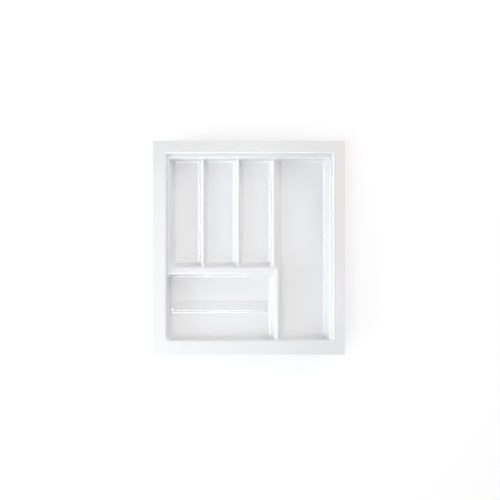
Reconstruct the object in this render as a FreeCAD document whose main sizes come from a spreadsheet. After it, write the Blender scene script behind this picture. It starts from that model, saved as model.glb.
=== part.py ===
import FreeCAD
import Part
import Sketcher
import os

# Driving sizes in millimetres and degrees; x runs left to right, y front to rear, z up.
DRIVING_SIZES = [
    ("width", 440),
    ("length", 490),
    ("height", 50),
    ("sheet", 2),
    ("draft", 5),
    ("wide_draft", 14),
    ("front_draft", 4),
    ("rim_left", 31),
    ("rim_right", 29),
    ("rim_rear", 29),
    ("rim_front", 32.8),
    ("rim_round", 3.5),
    ("corner_round", 4),
    ("well_round", 6),
    ("front_left_round", 9),
    ("ledge_height", 40),
    ("ledge_round", 3),
    ("left_shelf", 14.3),
    ("rear_shelf", 13.5),
    ("right_shelf", 14.4),
    ("cross_height", 32),
    ("cross_front", -64.5),
    ("cross_foot", 27),
    ("sweep_start", 87),
    ("sweep_run", 85),
    ("sweep_round", 120),
    ("slot_corner_round", 12),
    ("tray_corner_round", 11),
    ("corner_overlap", 0.5),
    ("floor_round", 3),
    ("long_left", 50.7),
    ("long_foot", 22.3),
    ("long_rear_height", 26),
    ("long_rear_top", 8.7),
    ("shoulder_draft", 40),
    ("first_divider_x", -107.2),
    ("second_divider_x", -25.3),
    ("divider_height", 24),
    ("divider_foot", 17.5),
    ("flank_draft", 16),
    ("divider_round", 3),
    ("low_ridge_y", -136.7),
    ("low_ridge_height", 6.5),
    ("low_ridge_foot", 27),
    ("low_ridge_rear_draft", 72),
    ("low_ridge_front_draft", 30),
    ("low_ridge_left_draft", 30),
    ("low_ridge_right_draft", 60),
    ("low_ridge_round", 2.5),
    ("low_ridge_foot_round", 3),
    ("low_ridge_end", 6.5),
    ("rim_seam", 5),
    ("foot_seam", 3),
]

doc = FreeCAD.newDocument("cutlery_tray")
sizes = doc.addObject("Spreadsheet::Sheet", "Sizes")
for row, (alias, value) in enumerate(DRIVING_SIZES, start=1):
    sizes.set(f"A{row}", alias)
    sizes.set(f"B{row}", str(value))
    sizes.setAlias(f"B{row}", alias)
doc.recompute()

# Rough blocks reach this far out and this far above and below the tray; tests on edges allow this much.
FAR = 400
ABOVE = 20
SLIGHT = 1
TOUCHING = 0.01
UPRIGHT = FreeCAD.Rotation(FreeCAD.Vector(1, 0, 0), 90)


def bind(item, **expressions):
    for name, expression in expressions.items():
        item.setExpression(name, str(expression))
    return item


def leaning(place, away, base, draft, skin):
    """A drafted face: its place at a base height, and the way it leans from the air as it rises."""
    slope = f"tan(Sizes.{draft})"
    shift = f"({skin}) / cos(Sizes.{draft})"
    return lambda height: f"({place}) {away} ((({height}) - ({base})) * {slope} + {shift})"


def plumb(place):
    return lambda height: f"({place})"


def tapered(name, low, high, left, right, front, rear):
    """A block between two levels with four plane sides, each upright or drafted."""
    block = doc.addObject("Part::Wedge", name)
    block.Placement.Rotation = UPRIGHT
    return bind(
        block,
        Ymin=low,
        Ymax=high,
        Xmin=left(low),
        Xmax=right(low),
        Zmin=f"-({rear(low)})",
        Zmax=f"-({front(low)})",
        X2min=left(high),
        X2max=right(high),
        Z2min=f"-({rear(high)})",
        Z2max=f"-({front(high)})",
    )


def cut(name, base, tool):
    result = doc.addObject("Part::Cut", name)
    result.Base = base
    result.Tool = tool
    return result


def fuse(name, *shapes):
    result = doc.addObject("Part::MultiFuse", name)
    result.Shapes = list(shapes)
    return result


def rounded(name, base, *choices):
    """Round the edges that each test chooses, with the radius given beside it."""
    doc.recompute()
    result = doc.addObject("Part::Fillet", name)
    result.Base = base
    edges = []
    for number, edge in enumerate(base.Shape.Edges, start=1):
        for test, radius in choices:
            if test(edge.BoundBox):
                edges.append((number, radius, radius))
                break
    if not edges:
        raise ValueError(f"{name} found no edge to round")
    result.Edges = edges
    return result


def near(first, second):
    return abs(first - second) < TOUCHING


def level(height):
    return lambda box: near(box.ZMin, height) and near(box.ZMax, height)


def size(alias):
    return float(sizes.get(alias))


def rising(box):
    return box.ZLength > 2 * size("sheet")


def swept_outline(name, foot, edge, top, ledge, skin):
    """The shelf's side outline: a drafted front and a level top that an incline lifts to the rear ledge."""
    outline = doc.addObject("Sketcher::SketchObject", name)
    outline.Placement.Rotation = FreeCAD.Rotation(FreeCAD.Vector(1, 1, 1), 120)
    value = outline.evalExpression
    low = f"-{ABOVE}"
    far = f"Sizes.length / 2 + {ABOVE}"
    run_end = "Sizes.sweep_start + Sizes.sweep_run"
    half_turn = "atan((Sizes.ledge_height - Sizes.cross_height) / Sizes.sweep_run) / 2"
    cup = f"(Sizes.sweep_round + {skin})"
    crown = f"(Sizes.sweep_round - {skin})"
    shelf_end = f"Sizes.sweep_start - {cup} * tan({half_turn})"
    ledge_start = f"{run_end} + {crown} * tan({half_turn})"

    def point(along, height):
        return FreeCAD.Vector(value(along), value(height), 0)

    def bend(first, second, centre, radius):
        middle = ((first + second) / 2 - centre).normalize() * radius
        return Part.Arc(first, centre + middle, second)

    incline = point(run_end, ledge) - point("Sizes.sweep_start", top)
    incline.normalize()
    cup_start = point(shelf_end, top)
    cup_end = point("Sizes.sweep_start", top) + incline * value(f"{cup} * tan({half_turn})")
    cup_centre = cup_start + FreeCAD.Vector(0, value(cup), 0)
    crown_end = point(ledge_start, ledge)
    crown_start = point(run_end, ledge) - incline * value(f"{crown} * tan({half_turn})")
    crown_centre = crown_end - FreeCAD.Vector(0, value(crown), 0)
    front = outline.addGeometry(Part.LineSegment(point(foot, low), point(edge, top)))
    shelf = outline.addGeometry(Part.LineSegment(point(edge, top), cup_start))
    lift = outline.addGeometry(bend(cup_start, cup_end, cup_centre, value(cup)))
    ramp = outline.addGeometry(Part.LineSegment(cup_end, crown_start))
    settle = outline.addGeometry(bend(crown_start, crown_end, crown_centre, value(crown)))
    ledge_line = outline.addGeometry(Part.LineSegment(crown_end, point(far, ledge)))
    back = outline.addGeometry(Part.LineSegment(point(far, ledge), point(far, low)))
    under = outline.addGeometry(Part.LineSegment(point(far, low), point(foot, low)))
    joints = [
        ("Coincident", front, 2, shelf, 1),
        ("Tangent", shelf, 2, lift, 1),
        ("Tangent", lift, 2, ramp, 1),
        ("Tangent", ramp, 2, settle, 2),
        ("Tangent", settle, 1, ledge_line, 1),
        ("Coincident", ledge_line, 2, back, 1),
        ("Coincident", back, 2, under, 1),
        ("Coincident", under, 2, front, 1),
    ]
    for joint in joints:
        outline.addConstraint(Sketcher.Constraint(*joint))
    for line in (shelf, ledge_line, under):
        outline.addConstraint(Sketcher.Constraint("Horizontal", line))
    outline.addConstraint(Sketcher.Constraint("Vertical", back))
    places = [
        ("DistanceX", front, 1, foot),
        ("DistanceY", front, 1, low),
        ("DistanceX", shelf, 1, edge),
        ("DistanceY", shelf, 1, top),
        ("DistanceX", shelf, 2, shelf_end),
        ("DistanceX", ledge_line, 1, ledge_start),
        ("DistanceY", ledge_line, 1, ledge),
        ("DistanceX", back, 1, far),
    ]
    for kind, line, end, expression in places:
        number = outline.addConstraint(Sketcher.Constraint(kind, -1, 1, line, end, value(expression)))
        outline.setExpression(f"Constraints[{number}]", expression)
    for arc, radius in ((lift, cup), (settle, crown)):
        number = outline.addConstraint(Sketcher.Constraint("Radius", arc, value(radius)))
        outline.setExpression(f"Constraints[{number}]", radius)
    return outline


def surface(side, skin):
    """The air above the tray, down to one face of its sheet; skin is 0 for the upper face."""
    grow = 0 if skin == "0" else size("sheet")
    floor = f"Sizes.sheet - {skin}"
    floor_z = size("sheet") - grow
    sky = f"Sizes.height + {ABOVE}"

    def name(word):
        return f"{side}_{word}"

    # The face's ridges are rounded; the underside keeps their edges sharp, because the sheet thins there.
    def softened(word, base, *choices):
        return base if grow else rounded(name(word), base, *choices)

    # The basin: the opening inside the rim, with plain drafted walls down to the floor.
    def wall(place, away):
        return leaning(place, away, "Sizes.height", "draft", skin)

    basin = tapered(
        name("basin"),
        floor,
        f"Sizes.height + {ABOVE} / 2",
        wall("-Sizes.width / 2 + Sizes.rim_left", "-"),
        wall("Sizes.width / 2 - Sizes.rim_right", "+"),
        leaning("-Sizes.length / 2 + Sizes.rim_front", "-", "Sizes.height", "front_draft", skin),
        wall("Sizes.length / 2 - Sizes.rim_rear", "+"),
    )

    def front_left(box):
        return rising(box) and box.XMax < 0 and box.YMax < 0

    def rear_left(box):
        return rising(box) and box.XMax < 0 and box.YMin > 0

    basin_corners = rounded(
        name("basin_corners"),
        basin,
        (front_left, size("front_left_round") + grow),
        (rising, size("corner_round") + grow),
    )
    rim_air = tapered(
        name("rim_air"),
        f"Sizes.height - {skin}",
        sky,
        plumb(-FAR),
        plumb(FAR),
        plumb(-FAR),
        plumb(FAR),
    )
    open_basin = fuse(name("open_basin"), basin_corners, rim_air)
    rim_z = size("height") - grow

    def inside_rim(box):
        return level(rim_z)(box) and box.XLength < size("width") and box.YLength < size("length")

    basin_air = softened("basin_air", open_basin, (inside_rim, size("rim_round")))

    # Two wells open below the shelf: one behind the cross divider, one along the long bay.
    def foot(place, away, draft):
        return leaning(place, away, "Sizes.sheet", draft, skin)

    top_of_wells = f"Sizes.height + {ABOVE} / 2"
    rear_foot = "Sizes.length / 2 - Sizes.rim_rear - Sizes.rear_shelf"
    bay_left = "Sizes.long_left + Sizes.long_foot"
    rear_block = tapered(
        name("rear_block"),
        floor,
        top_of_wells,
        foot("-Sizes.width / 2 + Sizes.rim_left + Sizes.left_shelf", "-", "wide_draft"),
        plumb(f"{bay_left} + Sizes.long_foot"),
        foot("Sizes.cross_front + Sizes.cross_foot", "-", "wide_draft"),
        foot(rear_foot, "+", "draft"),
    )
    rear_well = rounded(
        name("rear_well"),
        rear_block,
        (front_left, size("slot_corner_round") + grow),
        (rear_left, size("well_round") + grow),
    )
    bay_block = tapered(
        name("bay_block"),
        floor,
        top_of_wells,
        foot(bay_left, "-", "draft"),
        foot("Sizes.width / 2 - Sizes.rim_right - Sizes.right_shelf", "+", "wide_draft"),
        plumb(-FAR),
        foot(rear_foot, "+", "draft"),
    )

    def rear_right(box):
        return rising(box) and box.XMin > size("long_left") + 2 * size("long_foot") and box.YMin > 0

    bay_well = rounded(name("bay_well"), bay_block, (rear_right, size("well_round") + grow))

    # The shelf round the slots: level over the cross divider, swept up to the rear ledge.
    shelf_front = foot("Sizes.cross_front", "+", "draft")
    shelf_top = f"Sizes.cross_height - {skin}"
    shelf_outline = swept_outline(
        name("shelf_outline"),
        shelf_front(f"-{ABOVE}"),
        shelf_front(shelf_top),
        shelf_top,
        f"Sizes.ledge_height - {skin}",
        skin,
    )
    shelf = doc.addObject("Part::Extrusion", name("shelf"))
    shelf.Base = shelf_outline
    shelf.DirMode = "Custom"
    shelf.Dir = FreeCAD.Vector(1, 0, 0)
    shelf.Solid = True
    bind(shelf, LengthFwd="Sizes.long_left + Sizes.long_foot / 2", LengthRev=FAR)

    # A bar along the left wall turns the shelf's front into that wall with a round corner.
    left_bar = tapered(
        name("left_bar"),
        f"-{ABOVE}",
        shelf_top,
        plumb(-FAR),
        wall("-Sizes.width / 2 + Sizes.rim_left - Sizes.corner_overlap", "-"),
        plumb("Sizes.cross_front - 3 * Sizes.tray_corner_round"),
        plumb("Sizes.cross_front + Sizes.cross_foot / 2"),
    )
    shelf_and_bar = fuse(name("shelf_and_bar"), shelf, left_bar)

    def tray_corner(box):
        at_front = abs(box.YMin - size("cross_front")) < size("tray_corner_round")
        at_wall = abs(box.XMax + size("width") / 2 - size("rim_left")) < size("tray_corner_round")
        return rising(box) and at_front and at_wall

    turned_shelf = rounded(
        name("turned_shelf"),
        shelf_and_bar,
        (tray_corner, size("tray_corner_round") + grow),
    )
    slots_shelf = cut(name("slots_shelf"), turned_shelf, rear_well)
    shelf_z = size("cross_height") - grow
    round_ledge = size("ledge_round")

    def shelf_edge(box):
        inside = box.XMin > -size("width") / 2 and box.YMax < size("length") / 2 and box.XLength < FAR
        upright_end = near(box.XMin, size("long_left") + size("long_foot") / 2)
        return box.ZMin > shelf_z - TOUCHING and inside and not upright_end

    soft_shelf = softened("soft_shelf", slots_shelf, (shelf_edge, round_ledge))

    # The ledge behind and to the right of the long bay.
    ledge = tapered(
        name("ledge"),
        f"-{ABOVE}",
        f"Sizes.ledge_height - {skin}",
        plumb("Sizes.long_left"),
        plumb(FAR),
        plumb(-FAR),
        plumb(FAR),
    )
    divider_side = tapered(
        name("divider_side"),
        f"-2 * {ABOVE}",
        top_of_wells,
        plumb("0"),
        plumb("Sizes.width / 4"),
        plumb(-2 * FAR),
        plumb("0"),
    )
    wells = fuse(name("wells"), rear_well, bay_well, divider_side)
    bay_ledge = cut(name("bay_ledge"), ledge, wells)
    ledge_z = size("ledge_height") - grow

    def bay_edge(box):
        inside = box.XMin > size("long_left") + SLIGHT and box.XMax < FAR - SLIGHT
        return level(ledge_z)(box) and inside

    # The front half of the long divider stands as high as the ledge.
    long_front_block = tapered(
        name("long_front_block"),
        f"-{ABOVE}",
        f"Sizes.ledge_height - {skin}",
        foot("Sizes.long_left", "+", "wide_draft"),
        foot(bay_left, "-", "draft"),
        plumb(-FAR),
        foot("Sizes.cross_front + Sizes.cross_foot", "-", "wide_draft"),
    )

    def rear_corner(box):
        return rising(box) and box.YMin > SLIGHT - FAR

    def top_edge(box):
        return level(ledge_z)(box) and box.YMax > SLIGHT - FAR

    long_front_corners = softened("long_front_corners", long_front_block, (rear_corner, size("corner_round")))
    long_front = softened("long_front", long_front_corners, (top_edge, round_ledge))
    soft_ledge = softened("soft_ledge", bay_ledge, (bay_edge, round_ledge))
    frame = fuse(name("frame"), soft_shelf, soft_ledge, long_front)

    # The rear half of the long divider: a lower ridge with a sloping shoulder on the bay's side.
    inside_cross = "Sizes.cross_front + Sizes.cross_foot / 2"
    inside_rear = f"{rear_foot} + Sizes.rear_shelf / 2"
    ridge_block = tapered(
        name("long_rear_block"),
        f"-{ABOVE}",
        f"Sizes.long_rear_height - {skin}",
        foot("Sizes.long_left", "+", "draft"),
        foot(bay_left, "-", "draft"),
        plumb(inside_cross),
        plumb(inside_rear),
    )
    corner_bar = tapered(
        name("corner_bar"),
        f"-{ABOVE}",
        f"Sizes.long_rear_height - {skin}",
        plumb("Sizes.long_left - 3 * Sizes.slot_corner_round"),
        plumb("Sizes.long_left + Sizes.long_rear_top / 2"),
        plumb(inside_cross),
        foot("Sizes.cross_front + Sizes.cross_foot", "-", "wide_draft"),
    )
    ridge_and_bar = fuse(name("ridge_and_bar"), ridge_block, corner_bar)

    def slot_corner(box):
        reach = size("slot_corner_round")
        beside_ridge = abs(box.XMax - size("long_left")) < reach / 2
        behind_cross = abs(box.YMin - size("cross_front") - size("cross_foot")) < reach
        return rising(box) and beside_ridge and behind_cross and box.YLength < reach

    ridge_corner = rounded(
        name("ridge_corner"),
        ridge_and_bar,
        (slot_corner, size("slot_corner_round") + grow),
    )
    ridge_top = "Sizes.long_left + Sizes.long_rear_top"
    shoulder = tapered(
        name("long_rear_shoulder"),
        f"-{ABOVE}",
        f"Sizes.long_rear_height + {ABOVE}",
        leaning(ridge_top, "-", "Sizes.long_rear_height", "shoulder_draft", skin),
        plumb(FAR),
        plumb(-FAR),
        plumb(FAR),
    )
    long_rear_sharp = cut(name("long_rear_sharp"), ridge_corner, shoulder)

    def along_ridge(box):
        return box.YLength > size("length") / 4 and box.ZMin > floor_z + SLIGHT

    long_rear = softened("long_rear", long_rear_sharp, (along_ridge, round_ledge))

    # Two short dividers between the slots.
    crest_z = size("divider_height") - grow

    def along_crest(box):
        return level(crest_z)(box) and box.XLength < SLIGHT

    dividers = []
    for word in ("first_divider", "second_divider"):
        block = tapered(
            name(f"{word}_block"),
            f"-{ABOVE}",
            f"Sizes.divider_height - {skin}",
            foot(f"Sizes.{word}_x - Sizes.divider_foot / 2", "+", "flank_draft"),
            foot(f"Sizes.{word}_x + Sizes.divider_foot / 2", "-", "flank_draft"),
            plumb(inside_cross),
            plumb(inside_rear),
        )
        dividers.append(softened(f"{word}_form", block, (along_crest, size("divider_round"))))

    # A low rounded ridge between the two cross trays.
    tray_left = "-Sizes.width / 2 + Sizes.rim_left + (Sizes.height - Sizes.sheet) * tan(Sizes.draft)"
    mound = tapered(
        name("low_ridge_block"),
        f"{floor} - Sizes.sheet",
        f"Sizes.low_ridge_height - {skin}",
        foot(f"{tray_left} + Sizes.low_ridge_end", "+", "low_ridge_left_draft"),
        foot("Sizes.long_left - Sizes.low_ridge_end", "-", "low_ridge_right_draft"),
        foot("Sizes.low_ridge_y - Sizes.low_ridge_foot / 2", "+", "low_ridge_front_draft"),
        foot("Sizes.low_ridge_y + Sizes.low_ridge_foot / 2", "-", "low_ridge_rear_draft"),
    )
    mound_z = size("low_ridge_height") - grow
    low_ridge = softened("low_ridge_form", mound, (level(mound_z), size("low_ridge_round")))

    # Everything that stands up from the floor comes out of the basin's air.
    risers = fuse(name("risers"), frame, long_rear, *dividers, low_ridge)
    sharp_air = cut(name("sharp_air"), basin_air, risers)

    def ridge_foot(box):
        behind_front = box.YMin > size("low_ridge_y") - size("low_ridge_foot") / 2 - 2 * size("sheet")
        before_rear = box.YMax < size("low_ridge_y") + size("low_ridge_foot") / 2 + 2 * size("sheet")
        return level(floor_z)(box) and behind_front and before_rear

    return rounded(
        name("air"),
        sharp_air,
        (ridge_foot, size("low_ridge_foot_round") + grow),
        (level(floor_z), size("floor_round") + grow),
    )


upper_air = surface("upper", "0")
lower_air = surface("lower", "Sizes.sheet")
sheet = cut("formed_sheet", lower_air, upper_air)

# The sheet is parted along the level lines beside its ridges and walls.
OUTER_LEFT = "-Sizes.width / 2"
OUTER_RIGHT = "Sizes.width / 2"
OUTER_FRONT = "-Sizes.length / 2"
OUTER_REAR = "Sizes.length / 2"
RIM_LEFT = f"{OUTER_LEFT} + Sizes.rim_left - Sizes.rim_seam"
RIM_RIGHT = f"{OUTER_RIGHT} - Sizes.rim_right + Sizes.rim_seam"
RIM_FRONT = f"{OUTER_FRONT} + Sizes.rim_front - Sizes.rim_seam"
RIM_REAR = f"{OUTER_REAR} - Sizes.rim_rear + Sizes.rim_seam"
DEPTH = "(Sizes.height - Sizes.sheet)"
SLOTS_LEFT = f"{OUTER_LEFT} + Sizes.rim_left + Sizes.left_shelf + Sizes.foot_seam"
TRAYS_LEFT = f"{OUTER_LEFT} + Sizes.rim_left + {DEPTH} * tan(Sizes.draft) + Sizes.foot_seam"
BAY_RIGHT = f"{OUTER_RIGHT} - Sizes.rim_right - Sizes.right_shelf - Sizes.foot_seam"
FLOOR_REAR = f"{OUTER_REAR} - Sizes.rim_rear - Sizes.rear_shelf - Sizes.foot_seam"
FLOOR_FRONT = f"{OUTER_FRONT} + Sizes.rim_front + {DEPTH} * tan(Sizes.front_draft) + Sizes.foot_seam"
CROSS_FRONT = "Sizes.cross_front - Sizes.foot_seam"
CROSS_REAR = "Sizes.cross_front + Sizes.cross_foot + Sizes.foot_seam"
LONG_LEFT = "Sizes.long_left - Sizes.foot_seam"
LONG_RIGHT = "Sizes.long_left + Sizes.long_foot + Sizes.foot_seam"
HALF_DIVIDER = "(Sizes.divider_foot / 2 + Sizes.foot_seam)"
FIRST_LEFT = f"Sizes.first_divider_x - {HALF_DIVIDER}"
FIRST_RIGHT = f"Sizes.first_divider_x + {HALF_DIVIDER}"
SECOND_LEFT = f"Sizes.second_divider_x - {HALF_DIVIDER}"
SECOND_RIGHT = f"Sizes.second_divider_x + {HALF_DIVIDER}"
HALF_RIDGE = "(Sizes.low_ridge_foot / 2 + Sizes.foot_seam)"
RIDGE_FRONT = f"Sizes.low_ridge_y - {HALF_RIDGE}"
RIDGE_REAR = f"Sizes.low_ridge_y + {HALF_RIDGE}"

# Each piece lies between a left, a right, a front and a rear line.
PIECES = {
    "rim_rear": (OUTER_LEFT, OUTER_RIGHT, RIM_REAR, OUTER_REAR),
    "rim_front": (OUTER_LEFT, OUTER_RIGHT, OUTER_FRONT, RIM_FRONT),
    "rim_left": (OUTER_LEFT, RIM_LEFT, RIM_FRONT, RIM_REAR),
    "rim_right": (RIM_RIGHT, OUTER_RIGHT, RIM_FRONT, RIM_REAR),
    "rear_wall": (RIM_LEFT, RIM_RIGHT, FLOOR_REAR, RIM_REAR),
    "front_wall": (RIM_LEFT, RIM_RIGHT, RIM_FRONT, FLOOR_FRONT),
    "left_wall_rear": (RIM_LEFT, SLOTS_LEFT, CROSS_REAR, FLOOR_REAR),
    "left_wall_front": (RIM_LEFT, TRAYS_LEFT, FLOOR_FRONT, CROSS_FRONT),
    "right_wall": (BAY_RIGHT, RIM_RIGHT, FLOOR_FRONT, FLOOR_REAR),
    "cross_divider": (RIM_LEFT, LONG_LEFT, CROSS_FRONT, CROSS_REAR),
    "long_divider_rear": (LONG_LEFT, LONG_RIGHT, CROSS_REAR, FLOOR_REAR),
    "long_divider_front": (LONG_LEFT, LONG_RIGHT, FLOOR_FRONT, CROSS_REAR),
    "first_divider": (FIRST_LEFT, FIRST_RIGHT, CROSS_REAR, FLOOR_REAR),
    "second_divider": (SECOND_LEFT, SECOND_RIGHT, CROSS_REAR, FLOOR_REAR),
    "low_ridge": (TRAYS_LEFT, LONG_LEFT, RIDGE_FRONT, RIDGE_REAR),
    "first_slot_floor": (SLOTS_LEFT, FIRST_LEFT, CROSS_REAR, FLOOR_REAR),
    "second_slot_floor": (FIRST_RIGHT, SECOND_LEFT, CROSS_REAR, FLOOR_REAR),
    "third_slot_floor": (SECOND_RIGHT, LONG_LEFT, CROSS_REAR, FLOOR_REAR),
    "long_bay_floor": (LONG_RIGHT, BAY_RIGHT, FLOOR_FRONT, FLOOR_REAR),
    "rear_tray_floor": (TRAYS_LEFT, LONG_LEFT, RIDGE_REAR, CROSS_FRONT),
    "front_tray_floor": (TRAYS_LEFT, LONG_LEFT, FLOOR_FRONT, RIDGE_FRONT),
}

pieces = []
for label, (left, right, front, rear) in PIECES.items():
    zone = doc.addObject("Part::Box", f"{label}_zone")
    bind(
        zone,
        **{
            "Placement.Base.x": left,
            "Placement.Base.y": front,
            "Placement.Base.z": f"-{ABOVE}",
            "Length": f"({right}) - ({left})",
            "Width": f"({rear}) - ({front})",
            "Height": f"Sizes.height + 1.5 * {ABOVE}",
        },
    )
    piece = doc.addObject("Part::Common", label)
    piece.Base = sheet
    piece.Tool = zone
    piece.Label = label
    pieces.append(piece)
doc.recompute()

for item in doc.Objects:
    if "Invalid" in item.State or "Error" in item.State:
        raise RuntimeError(f"{item.Name} could not be built: {item.State}")

os.makedirs("parts", exist_ok=True)
for piece in pieces:
    if piece.Shape.isNull() or not piece.Shape.isValid() or len(piece.Shape.Solids) != 1:
        raise RuntimeError(f"{piece.Label} is not one sound solid")
    piece.Shape.exportStep(f"parts/{piece.Label}.step")
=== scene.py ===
"""Dresses a formed plastic cutlery tray: smooth white skins over its CAD pieces, light and a top view."""

import math

import bmesh
import bpy
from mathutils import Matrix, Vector


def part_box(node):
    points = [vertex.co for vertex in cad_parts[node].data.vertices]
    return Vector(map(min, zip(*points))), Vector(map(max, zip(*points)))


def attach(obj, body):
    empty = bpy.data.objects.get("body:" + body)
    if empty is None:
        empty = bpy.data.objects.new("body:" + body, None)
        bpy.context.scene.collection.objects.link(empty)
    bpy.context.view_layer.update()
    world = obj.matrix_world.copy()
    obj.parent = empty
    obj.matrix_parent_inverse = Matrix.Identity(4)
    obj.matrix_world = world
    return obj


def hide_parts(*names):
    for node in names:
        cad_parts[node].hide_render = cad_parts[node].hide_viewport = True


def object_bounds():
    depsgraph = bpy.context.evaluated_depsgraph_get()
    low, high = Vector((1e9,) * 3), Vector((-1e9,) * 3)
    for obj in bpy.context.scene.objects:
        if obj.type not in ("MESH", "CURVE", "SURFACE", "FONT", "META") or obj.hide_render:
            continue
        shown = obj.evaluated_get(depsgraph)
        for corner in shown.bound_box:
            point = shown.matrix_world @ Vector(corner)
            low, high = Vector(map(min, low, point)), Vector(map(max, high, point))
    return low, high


bl_info = {
    "name": "Cutlery Tray",
    "version": (1, 0, 0),
    "blender": (4, 5, 0),
    "location": "3D View > Sidebar > Tray",
    "description": "Builds the skins of a formed plastic cutlery tray and lights it on a pale floor",
    "category": "Object",
}

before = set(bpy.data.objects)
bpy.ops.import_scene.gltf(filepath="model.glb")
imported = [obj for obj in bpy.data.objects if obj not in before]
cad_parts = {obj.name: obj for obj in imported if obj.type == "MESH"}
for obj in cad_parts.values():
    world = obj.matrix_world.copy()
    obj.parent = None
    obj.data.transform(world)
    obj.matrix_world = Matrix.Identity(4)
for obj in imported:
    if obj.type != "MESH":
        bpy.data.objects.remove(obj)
CAD_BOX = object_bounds()

PLASTIC_IOR = 1.59
CLOUDS_PER_METRE = 9.0
HAIRLINE_TURN = math.radians(7)
HAIRLINES_PER_METRE = (900.0, 14.0, 900.0)
HAIRLINE_THRESHOLD = (0.58, 0.72)
GRAIN_STRENGTH = 0.35
WELD_DISTANCE = 2e-6
LARGE_FACE_WEIGHT = 90
RIMS = ("rim_rear", "rim_front", "rim_left", "rim_right")
WALLS = ("rear_wall", "front_wall", "left_wall_rear", "left_wall_front", "right_wall")
TALL_DIVIDERS = ("cross_divider", "long_divider_rear", "long_divider_front")
SHORT_DIVIDERS = ("first_divider", "second_divider")
FLOORS = (
    "first_slot_floor",
    "second_slot_floor",
    "third_slot_floor",
    "long_bay_floor",
    "rear_tray_floor",
    "front_tray_floor",
)
DIVIDER_INPUTS = {
    "Width": "NodeSocketFloat",
    "Height": "NodeSocketFloat",
    "Length": "NodeSocketFloat",
    "Foot Width": "NodeSocketFloat",
    "Flank Draft": "NodeSocketFloat",
    "Crest Round": "NodeSocketFloat",
    "Floor Round": "NodeSocketFloat",
    "Sheet": "NodeSocketFloat",
    "Round Steps": "NodeSocketInt",
    "Place": "NodeSocketVector",
}
HALF_SECTION_CORNERS = 6

FLOOR_SPAN = 12.0
SENSOR_WIDTH = 36.0
WHITE = (1.0, 1.0, 1.0)
# Place and size of each light in metres, with the tray at the origin; its power is a setting of the stage.
SOFT_LIGHTS = {
    "key": ((-0.8, -0.5, 2.1), (1.2, 1.2)),
    "side": ((-0.95, -0.5, 0.5), (0.9, 0.5)),
    "fill": ((1.2, 1.3, 1.0), (1.4, 1.0)),
}
MIRROR_CARDS = {
    "left_strip": ((-1.22, 0.0, 2.3), (1.3, 0.6)),
    "front_strip": ((-0.36, -1.22, 2.3), (0.85, 0.6)),
    "faint_strip": ((0.33, -1.22, 2.3), (0.5, 0.6)),
    "overhead_card": ((-0.28, -0.12, 4.0), (1.44, 1.56)),
}


class TrayPlastic(bpy.types.PropertyGroup):
    """The white formed sheet"""

    milk_white: bpy.props.FloatVectorProperty(
        name="Milk white",
        description="Colour of most of the sheet",
        subtype="COLOR",
        size=4,
        min=0.0,
        max=1.0,
        default=(0.915, 0.915, 0.92, 1.0),
    )
    cool_white: bpy.props.FloatVectorProperty(
        name="Cool white",
        description="Colour of the faint clouds in the sheet",
        subtype="COLOR",
        size=4,
        min=0.0,
        max=1.0,
        default=(0.905, 0.907, 0.915, 1.0),
    )
    sheen_low: bpy.props.FloatProperty(
        name="Glossiest roughness",
        description="Roughness where the sheet is smoothest",
        subtype="FACTOR",
        min=0.0,
        max=1.0,
        default=0.09,
    )
    sheen_high: bpy.props.FloatProperty(
        name="Dullest roughness",
        description="Roughness where fine scratches dull the sheet",
        subtype="FACTOR",
        min=0.0,
        max=1.0,
        default=0.17,
    )
    grain_per_metre: bpy.props.FloatProperty(
        name="Grain",
        description="How fine the moulded grain is, in grains per metre",
        min=50.0,
        max=5000.0,
        default=620.0,
    )
    grain_depth: bpy.props.FloatProperty(
        name="Grain depth",
        description="Height of the moulded grain",
        subtype="DISTANCE",
        unit="LENGTH",
        min=0.0,
        max=0.001,
        default=0.00002,
        precision=5,
    )
    smooth_angle: bpy.props.FloatProperty(
        name="Smooth angle",
        description="Edges that bend by less than this are shaded smooth",
        subtype="ANGLE",
        unit="ROTATION",
        min=0.0,
        max=math.pi,
        default=math.radians(32),
    )


class ShortDividerSizes(bpy.types.PropertyGroup):
    """The section of the two short dividers between the slots"""

    foot_width: bpy.props.FloatProperty(
        name="Foot width",
        description="Width of a divider where its flanks meet the floor",
        subtype="DISTANCE",
        unit="LENGTH",
        default=0.0175,
        precision=4,
    )
    flank_draft: bpy.props.FloatProperty(
        name="Flank draft",
        description="Lean of the flanks from upright",
        subtype="ANGLE",
        unit="ROTATION",
        default=math.radians(16),
    )
    crest_round: bpy.props.FloatProperty(
        name="Crest round",
        description="Radius along the top of a divider",
        subtype="DISTANCE",
        unit="LENGTH",
        default=0.003,
        precision=4,
    )
    floor_round: bpy.props.FloatProperty(
        name="Floor round",
        description="Radius between a flank and the floor",
        subtype="DISTANCE",
        unit="LENGTH",
        default=0.003,
        precision=4,
    )
    sheet: bpy.props.FloatProperty(
        name="Sheet",
        description="Thickness of the formed sheet",
        subtype="DISTANCE",
        unit="LENGTH",
        default=0.002,
        precision=4,
    )
    round_steps: bpy.props.IntProperty(
        name="Round steps",
        description="Segments in each rounded corner of the section",
        min=2,
        max=32,
        default=10,
    )


class LowRidgeSizes(bpy.types.PropertyGroup):
    """The long slope of the low ridge between the cross trays"""

    rear_foot: bpy.props.FloatProperty(
        name="Rear foot",
        description="Where the slope leaves the floor, from the tray's middle",
        subtype="DISTANCE",
        unit="LENGTH",
        default=-0.1232,
        precision=4,
    )
    front_edge: bpy.props.FloatProperty(
        name="Front edge",
        description="Where the slope reaches its full height, from the tray's middle",
        subtype="DISTANCE",
        unit="LENGTH",
        default=-0.1462,
        precision=4,
    )
    sheet: bpy.props.FloatProperty(
        name="Sheet",
        description="Thickness of the formed sheet",
        subtype="DISTANCE",
        unit="LENGTH",
        default=0.002,
        precision=4,
    )


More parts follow.
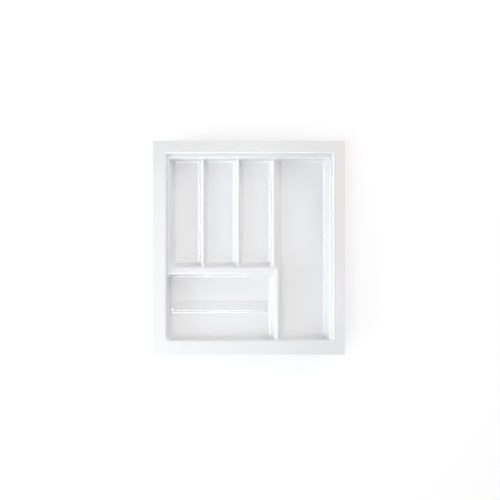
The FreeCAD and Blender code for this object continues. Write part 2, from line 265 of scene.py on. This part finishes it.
class TrayStage(bpy.types.PropertyGroup):
    """The floor, the light and the camera"""

    camera_height: bpy.props.FloatProperty(
        name="Camera height",
        description="Distance from the rim's plane up to the camera",
        subtype="DISTANCE",
        unit="LENGTH",
        default=2.04,
    )
    view_width: bpy.props.FloatProperty(
        name="View width",
        description="Width that the picture takes in at the rim's plane",
        subtype="DISTANCE",
        unit="LENGTH",
        default=1.1445,
    )
    camera_offset: bpy.props.FloatVectorProperty(
        name="Camera offset",
        description="How far the camera stands to the right of the tray's middle, and behind it",
        subtype="TRANSLATION",
        unit="LENGTH",
        size=2,
        default=(0.0026, -0.005),
    )
    key_power: bpy.props.FloatProperty(
        name="Key power",
        description="Power of the large soft light high at the front left",
        subtype="POWER",
        unit="POWER",
        default=10.0,
    )
    key_colour: bpy.props.FloatVectorProperty(
        name="Key colour",
        description="Colour of the large soft light",
        subtype="COLOR",
        size=3,
        min=0.0,
        max=1.0,
        default=(0.87, 0.925, 1.0),
    )
    side_power: bpy.props.FloatProperty(
        name="Side power",
        description="Power of the low light at the front left that brightens the near rim",
        subtype="POWER",
        unit="POWER",
        default=5.6,
    )
    side_colour: bpy.props.FloatVectorProperty(
        name="Side colour",
        description="Colour of the low light at the front left",
        subtype="COLOR",
        size=3,
        min=0.0,
        max=1.0,
        default=(0.72, 0.905, 1.0),
    )
    fill_power: bpy.props.FloatProperty(
        name="Fill power",
        description="Power of the light behind the tray that opens the shaded walls",
        subtype="POWER",
        unit="POWER",
        default=10.3,
    )
    fill_colour: bpy.props.FloatVectorProperty(
        name="Fill colour",
        description="Colour of the light behind the tray",
        subtype="COLOR",
        size=3,
        min=0.0,
        max=1.0,
        default=(1.0, 0.98, 0.97),
    )
    left_strip_power: bpy.props.FloatProperty(
        name="Left strip power",
        description="Power of the narrow card whose reflection draws the bright lines that face left",
        subtype="POWER",
        unit="POWER",
        default=145.0,
    )
    front_strip_power: bpy.props.FloatProperty(
        name="Front strip power",
        description="Power of the narrow card whose reflection draws the bright lines that face the front",
        subtype="POWER",
        unit="POWER",
        default=75.0,
    )
    faint_strip_power: bpy.props.FloatProperty(
        name="Faint strip power",
        description="Power of the dim card beside the front strip, where bright lines fade to the right",
        subtype="POWER",
        unit="POWER",
        default=14.0,
    )
    overhead_card_power: bpy.props.FloatProperty(
        name="Overhead card power",
        description="Power of the card above the camera whose reflection lies on the level faces",
        subtype="POWER",
        unit="POWER",
        default=7.2,
    )
    room_level: bpy.props.FloatProperty(
        name="Room level",
        description="Strength of the even light from the room",
        min=0.0,
        max=2.0,
        default=0.515,
    )
    room_colour: bpy.props.FloatVectorProperty(
        name="Room colour",
        description="Colour of the even light from the room",
        subtype="COLOR",
        size=4,
        min=0.0,
        max=1.0,
        default=(1.0, 0.955, 0.93, 1.0),
    )
    floor_colour: bpy.props.FloatVectorProperty(
        name="Floor colour",
        description="Colour of the pale floor",
        subtype="COLOR",
        size=4,
        min=0.0,
        max=1.0,
        default=(0.55, 0.55, 0.55, 1.0),
    )
    floor_glow: bpy.props.FloatProperty(
        name="Floor glow",
        description="Light that the floor adds for the camera, so that it is white outside the shadow",
        min=0.0,
        max=1.0,
        default=0.575,
    )


def add_node(tree, kind, place, **settings):
    node = tree.nodes.new(kind)
    node.location = place
    for key, value in settings.items():
        setattr(node, key, value)
    return node


def white_sheet():
    """White gloss plastic: fine moulded grain, faint clouds of tone and hairline scratches."""
    material = bpy.data.materials.get("white_formed_sheet")
    if material:
        return material
    plastic = bpy.context.scene.tray_plastic
    material = bpy.data.materials.new("white_formed_sheet")
    material.use_nodes = True
    tree = material.node_tree
    link = tree.links.new
    shader = tree.nodes["Principled BSDF"]
    shader.inputs["IOR"].default_value = PLASTIC_IOR
    place = add_node(tree, "ShaderNodeTexCoord", (-1300, 0))

    clouds = add_node(tree, "ShaderNodeTexNoise", (-1000, 300))
    clouds.inputs["Scale"].default_value = CLOUDS_PER_METRE
    clouds.inputs["Detail"].default_value = 3.0
    link(place.outputs["Object"], clouds.inputs["Vector"])
    tone = add_node(tree, "ShaderNodeMix", (-500, 300), data_type="RGBA")
    tone.inputs["A"].default_value = plastic.milk_white
    tone.inputs["B"].default_value = plastic.cool_white
    link(clouds.outputs["Fac"], tone.inputs["Factor"])
    link(tone.outputs["Result"], shader.inputs["Base Color"])

    strokes = add_node(tree, "ShaderNodeMapping", (-1100, -50))
    strokes.inputs["Rotation"].default_value = (0.0, 0.0, HAIRLINE_TURN)
    strokes.inputs["Scale"].default_value = HAIRLINES_PER_METRE
    link(place.outputs["Object"], strokes.inputs["Vector"])
    hairlines = add_node(tree, "ShaderNodeTexNoise", (-900, -50))
    hairlines.inputs["Scale"].default_value = 1.0
    hairlines.inputs["Detail"].default_value = 2.0
    link(strokes.outputs["Vector"], hairlines.inputs["Vector"])
    dulling = add_node(tree, "ShaderNodeMapRange", (-650, -50), interpolation_type="SMOOTHSTEP")
    dulling.inputs["From Min"].default_value, dulling.inputs["From Max"].default_value = HAIRLINE_THRESHOLD
    dulling.inputs["To Min"].default_value = plastic.sheen_low
    dulling.inputs["To Max"].default_value = plastic.sheen_high
    link(hairlines.outputs["Fac"], dulling.inputs["Value"])
    link(dulling.outputs["Result"], shader.inputs["Roughness"])

    grain = add_node(tree, "ShaderNodeTexNoise", (-900, -400))
    grain.inputs["Scale"].default_value = plastic.grain_per_metre
    grain.inputs["Detail"].default_value = 2.0
    grain.inputs["Roughness"].default_value = 0.4
    link(place.outputs["Object"], grain.inputs["Vector"])
    relief = add_node(tree, "ShaderNodeBump", (-400, -400))
    relief.inputs["Strength"].default_value = GRAIN_STRENGTH
    relief.inputs["Distance"].default_value = plastic.grain_depth
    link(grain.outputs["Fac"], relief.inputs["Height"])
    link(relief.outputs["Normal"], shader.inputs["Normal"])
    return material


def finish_skin(mesh, node):
    """Shades a mesh smooth inside its flat and rounded faces, and hands it over in place of a CAD node."""
    limit = bpy.context.scene.tray_plastic.smooth_angle
    work = bmesh.new()
    work.from_mesh(mesh)
    bmesh.ops.remove_doubles(work, verts=work.verts, dist=WELD_DISTANCE)
    for face in work.faces:
        face.smooth = True
    for edge in work.edges:
        edge.smooth = edge.is_manifold and edge.calc_face_angle(math.pi) < limit
    work.to_mesh(mesh)
    work.free()
    mesh.materials.clear()
    mesh.materials.append(white_sheet())
    piece = bpy.data.objects.new(f"{node}_skin", mesh)
    bpy.context.scene.collection.objects.link(piece)
    weigh = piece.modifiers.new("Weighted normals", "WEIGHTED_NORMAL")
    weigh.keep_sharp = True
    weigh.weight = LARGE_FACE_WEIGHT
    finished = bpy.data.meshes.new_from_object(piece.evaluated_get(bpy.context.evaluated_depsgraph_get()))
    piece.modifiers.clear()
    piece.data = finished
    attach(piece, "root")
    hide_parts(node)


def formed_skin(node):
    """A smooth skin in the shape of one CAD node."""
    finish_skin(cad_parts[node].data.copy(), node)


class TRAY_OT_rims(bpy.types.Operator):
    """Skins for the flat rim that lies on the drawer's sides"""

    bl_idname = "tray.rims"
    bl_label = "Rims"

    def execute(self, context):
        for node in RIMS:
            formed_skin(node)
        return {"FINISHED"}


class TRAY_OT_walls(bpy.types.Operator):
    """Skins for the drafted outer walls and their ledges"""

    bl_idname = "tray.walls"
    bl_label = "Walls"

    def execute(self, context):
        for node in WALLS:
            formed_skin(node)
        return {"FINISHED"}


class TRAY_OT_tall_dividers(bpy.types.Operator):
    """Skins for the cross divider and the two halves of the long divider"""

    bl_idname = "tray.tall_dividers"
    bl_label = "Tall Dividers"

    def execute(self, context):
        for node in TALL_DIVIDERS:
            formed_skin(node)
        return {"FINISHED"}


def divider_tree():
    """Node tree of a hollow ridge: half a section, mirrored, rounded and drawn out along the slots."""
    tree = bpy.data.node_groups.get("short_divider")
    if tree:
        return tree
    tree = bpy.data.node_groups.new("short_divider", "GeometryNodeTree")
    link = tree.links.new
    tree.interface.new_socket("Geometry", in_out="OUTPUT", socket_type="NodeSocketGeometry")
    for name, kind in DIVIDER_INPUTS.items():
        tree.interface.new_socket(name, in_out="INPUT", socket_type=kind)
    given = add_node(tree, "NodeGroupInput", (-2400, 0)).outputs

    def feed(socket, value):
        if isinstance(value, bpy.types.NodeSocket):
            link(value, socket)
        else:
            socket.default_value = value

    def work_out(operation, place, *values):
        node = add_node(tree, "ShaderNodeMath", place, operation=operation)
        for socket, value in zip(node.inputs, values):
            feed(socket, value)
        return node.outputs["Value"]

    def by_corner(corner, place, values):
        switch = add_node(tree, "GeometryNodeIndexSwitch", place, data_type="FLOAT")
        while len(switch.index_switch_items) < len(values):
            switch.index_switch_items.new()
        link(corner, switch.inputs["Index"])
        for socket, value in zip(switch.inputs[1:], values):
            feed(socket, value)
        return switch.outputs["Output"]

    sheet, height = given["Sheet"], given["Height"]
    lean = work_out("TANGENT", (-2100, 300), given["Flank Draft"])
    across = work_out("DIVIDE", (-1900, 200), sheet, work_out("COSINE", (-2100, 150), given["Flank Draft"]))
    foot = work_out("MULTIPLY", (-2100, 0), given["Foot Width"], 0.5)
    edge = work_out("MULTIPLY", (-2100, -150), given["Width"], 0.5)
    below_crest = work_out("SUBTRACT", (-2100, -300), height, sheet)
    crest = work_out("SUBTRACT", (-1500, 300), foot, work_out("MULTIPLY", (-1700, 300), below_crest, lean))
    inner_foot = work_out(
        "SUBTRACT",
        (-1300, 100),
        work_out("ADD", (-1500, 100), foot, work_out("MULTIPLY", (-1700, 100), sheet, lean)),
        across,
    )
    inner_crest = work_out(
        "SUBTRACT",
        (-1100, 100),
        inner_foot,
        work_out("MULTIPLY", (-1300, -50), below_crest, lean),
    )
    inner_round = work_out("ADD", (-1700, -300), given["Floor Round"], sheet)

    index = add_node(tree, "GeometryNodeInputIndex", (-2100, -600)).outputs["Index"]
    last = 2 * HALF_SECTION_CORNERS - 1
    corner = work_out("MINIMUM", (-1700, -600), index, work_out("SUBTRACT", (-1900, -650), last, index))
    mirrored = work_out("GREATER_THAN", (-1900, -850), index, last / 2)
    side = work_out("MULTIPLY_ADD", (-1700, -800), mirrored, 2.0, -1.0)
    reach = by_corner(corner, (-900, 200), (crest, foot, edge, edge, inner_foot, inner_crest))
    rise = by_corner(corner, (-900, -100), (height, sheet, sheet, 0.0, 0.0, below_crest))
    crest_round, floor_round = given["Crest Round"], given["Floor Round"]
    rounding = by_corner(corner, (-900, -400), (crest_round, floor_round, 0.0, 0.0, inner_round, 0.0))
    section_place = add_node(tree, "ShaderNodeCombineXYZ", (-500, 100))
    link(work_out("MULTIPLY", (-700, 200), reach, side), section_place.inputs["X"])
    link(rise, section_place.inputs["Y"])

    line = add_node(tree, "GeometryNodeCurvePrimitiveLine", (-700, 500))
    points = add_node(tree, "GeometryNodeResampleCurve", (-500, 500))
    points.inputs["Count"].default_value = 2 * HALF_SECTION_CORNERS
    closed = add_node(tree, "GeometryNodeSetSplineCyclic", (-300, 500))
    closed.inputs["Cyclic"].default_value = True
    section = add_node(tree, "GeometryNodeSetPosition", (-100, 500))
    rounded = add_node(tree, "GeometryNodeFilletCurve", (100, 500), mode="POLY")
    link(line.outputs["Curve"], points.inputs["Curve"])
    link(points.outputs["Curve"], closed.inputs["Geometry"])
    link(closed.outputs["Geometry"], section.inputs["Geometry"])
    link(section_place.outputs["Vector"], section.inputs["Position"])
    link(section.outputs["Geometry"], rounded.inputs["Curve"])
    link(given["Round Steps"], rounded.inputs["Count"])
    link(rounding, rounded.inputs["Radius"])

    run = add_node(tree, "GeometryNodeCurvePrimitiveLine", (-300, 200), mode="DIRECTION")
    run.inputs["Direction"].default_value = (0.0, 1.0, 0.0)
    upright = add_node(tree, "GeometryNodeSetCurveNormal", (-100, 200), mode="Z_UP")
    link(given["Length"], run.inputs["Length"])
    link(run.outputs["Curve"], upright.inputs["Curve"])
    ridge = add_node(tree, "GeometryNodeCurveToMesh", (300, 400))
    ridge.inputs["Fill Caps"].default_value = True
    link(upright.outputs["Curve"], ridge.inputs["Curve"])
    link(rounded.outputs["Curve"], ridge.inputs["Profile Curve"])
    placed = add_node(tree, "GeometryNodeTransform", (500, 400))
    link(ridge.outputs["Mesh"], placed.inputs["Geometry"])
    link(given["Place"], placed.inputs["Translation"])
    placed.inputs["Rotation"].default_value = (0.0, math.pi, 0.0)
    real = add_node(tree, "GeometryNodeRealizeInstances", (700, 400))
    link(placed.outputs["Geometry"], real.inputs["Geometry"])
    skin = add_node(tree, "GeometryNodeSetMaterial", (900, 400))
    skin.inputs["Material"].default_value = white_sheet()
    link(real.outputs["Geometry"], skin.inputs["Geometry"])
    output = add_node(tree, "NodeGroupOutput", (1100, 400))
    link(skin.outputs["Geometry"], output.inputs["Geometry"])
    return tree


def short_divider(node):
    """One divider from the node tree, as wide, high and long as its CAD node."""
    sizes = bpy.context.scene.short_dividers
    low, high = (Vector(corner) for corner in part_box(node))
    values = {
        "Width": high.x - low.x,
        "Height": high.z - low.z,
        "Length": high.y - low.y,
        "Foot Width": sizes.foot_width,
        "Flank Draft": sizes.flank_draft,
        "Crest Round": sizes.crest_round,
        "Floor Round": sizes.floor_round,
        "Sheet": sizes.sheet,
        "Round Steps": sizes.round_steps,
        "Place": ((low.x + high.x) / 2, low.y, low.z),
    }
    tree = divider_tree()
    holder = bpy.data.objects.new(f"{node}_nodes", bpy.data.meshes.new(f"{node}_nodes"))
    bpy.context.scene.collection.objects.link(holder)
    modifier = holder.modifiers.new("Short divider", "NODES")
    modifier.node_group = tree
    for item in tree.interface.items_tree:
        if item.in_out == "INPUT":
            modifier[item.identifier] = values[item.name]
    mesh = bpy.data.meshes.new_from_object(holder.evaluated_get(bpy.context.evaluated_depsgraph_get()))
    bpy.data.objects.remove(holder)
    finish_skin(mesh, node)


class TRAY_OT_short_dividers(bpy.types.Operator):
    """Skins for the two short dividers between the slots"""

    bl_idname = "tray.short_dividers"
    bl_label = "Short Dividers"

    def execute(self, context):
        for node in SHORT_DIVIDERS:
            short_divider(node)
        return {"FINISHED"}


def planed_ridge(node):
    """The low ridge with one long slope, which climbs from its rear foot to its front edge."""
    sizes = bpy.context.scene.low_ridge
    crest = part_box(node)[1][2]
    climb = (crest - sizes.sheet) / (sizes.rear_foot - sizes.front_edge)
    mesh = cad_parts[node].data.copy()
    work = bmesh.new()
    work.from_mesh(mesh)
    bmesh.ops.remove_doubles(work, verts=work.verts, dist=WELD_DISTANCE)
    work.normal_update()
    for point in work.verts:
        if sizes.front_edge < point.co.y < sizes.rear_foot:
            slope = sizes.sheet + climb * (sizes.rear_foot - point.co.y)
            if point.normal.z < 0:
                slope -= sizes.sheet
            point.co.z = min(point.co.z, slope)
    work.to_mesh(mesh)
    work.free()
    finish_skin(mesh, node)


class TRAY_OT_low_ridge(bpy.types.Operator):
    """Skin for the low ridge between the cross trays"""

    bl_idname = "tray.low_ridge"
    bl_label = "Low Ridge"

    def execute(self, context):
        planed_ridge("low_ridge")
        return {"FINISHED"}


class TRAY_OT_floors(bpy.types.Operator):
    """Skins for the floors of the slots, the long bay and the cross trays"""

    bl_idname = "tray.floors"
    bl_label = "Floors"

    def execute(self, context):
        for node in FLOORS:
            formed_skin(node)
        return {"FINISHED"}


def seen_directly(tree):
    """One for rays that show a surface to the camera, also in gloss or through glass, else nought."""
    link = tree.links.new
    rays = add_node(tree, "ShaderNodeLightPath", (-700, -100))
    first = add_node(tree, "ShaderNodeMath", (-450, -50), operation="MAXIMUM")
    link(rays.outputs["Is Camera Ray"], first.inputs[0])
    link(rays.outputs["Is Glossy Ray"], first.inputs[1])
    either = add_node(tree, "ShaderNodeMath", (-250, -100), operation="MAXIMUM")
    link(first.outputs["Value"], either.inputs[0])
    link(rays.outputs["Is Transmission Ray"], either.inputs[1])
    return either.outputs["Value"]


def pale_floor(stage):
    """A floor that reads as white to the camera and keeps the tray's shadow."""
    bpy.ops.mesh.primitive_plane_add(size=FLOOR_SPAN)
    floor = bpy.context.object
    floor.name = "pale_floor"
    material = bpy.data.materials.new("pale_floor")
    material.use_nodes = True
    tree = material.node_tree
    link = tree.links.new
    tree.nodes.clear()
    output = add_node(tree, "ShaderNodeOutputMaterial", (600, 0))
    matt = add_node(tree, "ShaderNodeBsdfDiffuse", (0, 100))
    matt.inputs["Color"].default_value = stage.floor_colour
    strength = add_node(tree, "ShaderNodeMath", (-50, -150), operation="MULTIPLY")
    strength.inputs[1].default_value = stage.floor_glow
    link(seen_directly(tree), strength.inputs[0])
    glow = add_node(tree, "ShaderNodeEmission", (150, -100))
    link(strength.outputs["Value"], glow.inputs["Strength"])
    both = add_node(tree, "ShaderNodeAddShader", (400, 0))
    link(matt.outputs["BSDF"], both.inputs[0])
    link(glow.outputs["Emission"], both.inputs[1])
    link(both.outputs["Shader"], output.inputs["Surface"])
    floor.data.materials.append(material)


def pale_room(stage):
    """A room that lights the tray evenly and reads as white behind it."""
    world = bpy.data.worlds.new("pale_room")
    world.use_nodes = True
    tree = world.node_tree
    link = tree.links.new
    tree.nodes.clear()
    output = add_node(tree, "ShaderNodeOutputWorld", (400, 0))
    light = add_node(tree, "ShaderNodeBackground", (0, 100))
    light.inputs["Color"].default_value = stage.room_colour
    light.inputs["Strength"].default_value = stage.room_level
    white = add_node(tree, "ShaderNodeBackground", (0, -100))
    white.inputs["Color"].default_value = (*WHITE, 1.0)
    blend = add_node(tree, "ShaderNodeMixShader", (200, 0))
    link(seen_directly(tree), blend.inputs["Fac"])
    link(light.outputs["Background"], blend.inputs[1])
    link(white.outputs["Background"], blend.inputs[2])
    link(blend.outputs["Shader"], output.inputs["Surface"])
    bpy.context.scene.world = world


def area_light(name, place, size, power, colour):
    """A rectangular light that faces the tray."""
    lamp = bpy.data.lights.new(name, "AREA")
    lamp.shape = "RECTANGLE"
    lamp.size, lamp.size_y = size
    lamp.energy = power
    lamp.color = colour
    holder = bpy.data.objects.new(name, lamp)
    holder.location = place
    holder.rotation_euler = (-Vector(place)).to_track_quat("-Z", "Y").to_euler()
    bpy.context.scene.collection.objects.link(holder)
    return holder


def soft_light(name, place, size, power, colour):
    """A light that the gloss doesn't mirror, so that the flat faces stay even."""
    holder = area_light(name, place, size, power, colour)
    holder.visible_glossy = False


def mirror_card(name, place, size, power):
    """A bright card that shows only in the gloss and throws no light on dull surfaces."""
    holder = area_light(name, place, size, power, WHITE)
    holder.visible_diffuse = False
    holder.data.cycles.max_bounces = 0


class TRAY_OT_stage(bpy.types.Operator):
    """A pale floor, soft studio light with mirror cards, and a camera straight above the tray"""

    bl_idname = "tray.stage"
    bl_label = "Stage"

    def execute(self, context):
        scene = context.scene
        stage = scene.tray_stage
        scene.view_settings.view_transform = "Standard"
        pale_floor(stage)
        pale_room(stage)
        for name, (place, size) in SOFT_LIGHTS.items():
            power = getattr(stage, f"{name}_power")
            soft_light(name, place, size, power, getattr(stage, f"{name}_colour"))
        for name, (place, size) in MIRROR_CARDS.items():
            mirror_card(name, place, size, getattr(stage, f"{name}_power"))

        rim_height = CAD_BOX[1][2]
        lens = bpy.data.cameras.new("top_camera")
        lens.sensor_fit = "HORIZONTAL"
        lens.sensor_width = SENSOR_WIDTH
        lens.lens = SENSOR_WIDTH * stage.camera_height / stage.view_width
        camera = bpy.data.objects.new("top_camera", lens)
        camera.location = (*stage.camera_offset, rim_height + stage.camera_height)
        scene.collection.objects.link(camera)
        scene.camera = camera
        return {"FINISHED"}


class TRAY_PT_panel(bpy.types.Panel):
    """Buttons for the tray's pieces and its stage"""

    bl_idname = "TRAY_PT_panel"
    bl_label = "Cutlery Tray"
    bl_space_type = "VIEW_3D"
    bl_region_type = "UI"
    bl_category = "Tray"

    def draw(self, context):
        layout = self.layout
        for name in SETTINGS:
            group = getattr(context.scene, name)
            box = layout.box()
            for key in group.bl_rna.properties.keys():
                if key not in ("rna_type", "name"):
                    box.prop(group, key)
        for operator in OPERATORS:
            layout.operator(operator.bl_idname)


OPERATORS = (
    TRAY_OT_rims,
    TRAY_OT_walls,
    TRAY_OT_tall_dividers,
    TRAY_OT_short_dividers,
    TRAY_OT_low_ridge,
    TRAY_OT_floors,
    TRAY_OT_stage,
)
SETTINGS = {
    "tray_plastic": TrayPlastic,
    "short_dividers": ShortDividerSizes,
    "low_ridge": LowRidgeSizes,
    "tray_stage": TrayStage,
}


def register():
    for name, group in SETTINGS.items():
        bpy.utils.register_class(group)
        setattr(bpy.types.Scene, name, bpy.props.PointerProperty(type=group))
    for operator in OPERATORS:
        bpy.utils.register_class(operator)
    bpy.utils.register_class(TRAY_PT_panel)


def unregister():
    bpy.utils.unregister_class(TRAY_PT_panel)
    for operator in reversed(OPERATORS):
        bpy.utils.unregister_class(operator)
    for name, group in reversed(SETTINGS.items()):
        delattr(bpy.types.Scene, name)
        bpy.utils.unregister_class(group)


def main():
    register()
    bpy.ops.tray.rims()
    bpy.ops.tray.walls()
    bpy.ops.tray.tall_dividers()
    bpy.ops.tray.short_dividers()
    bpy.ops.tray.low_ridge()
    bpy.ops.tray.floors()
    bpy.ops.tray.stage()


if __name__ == "__main__":
    main()
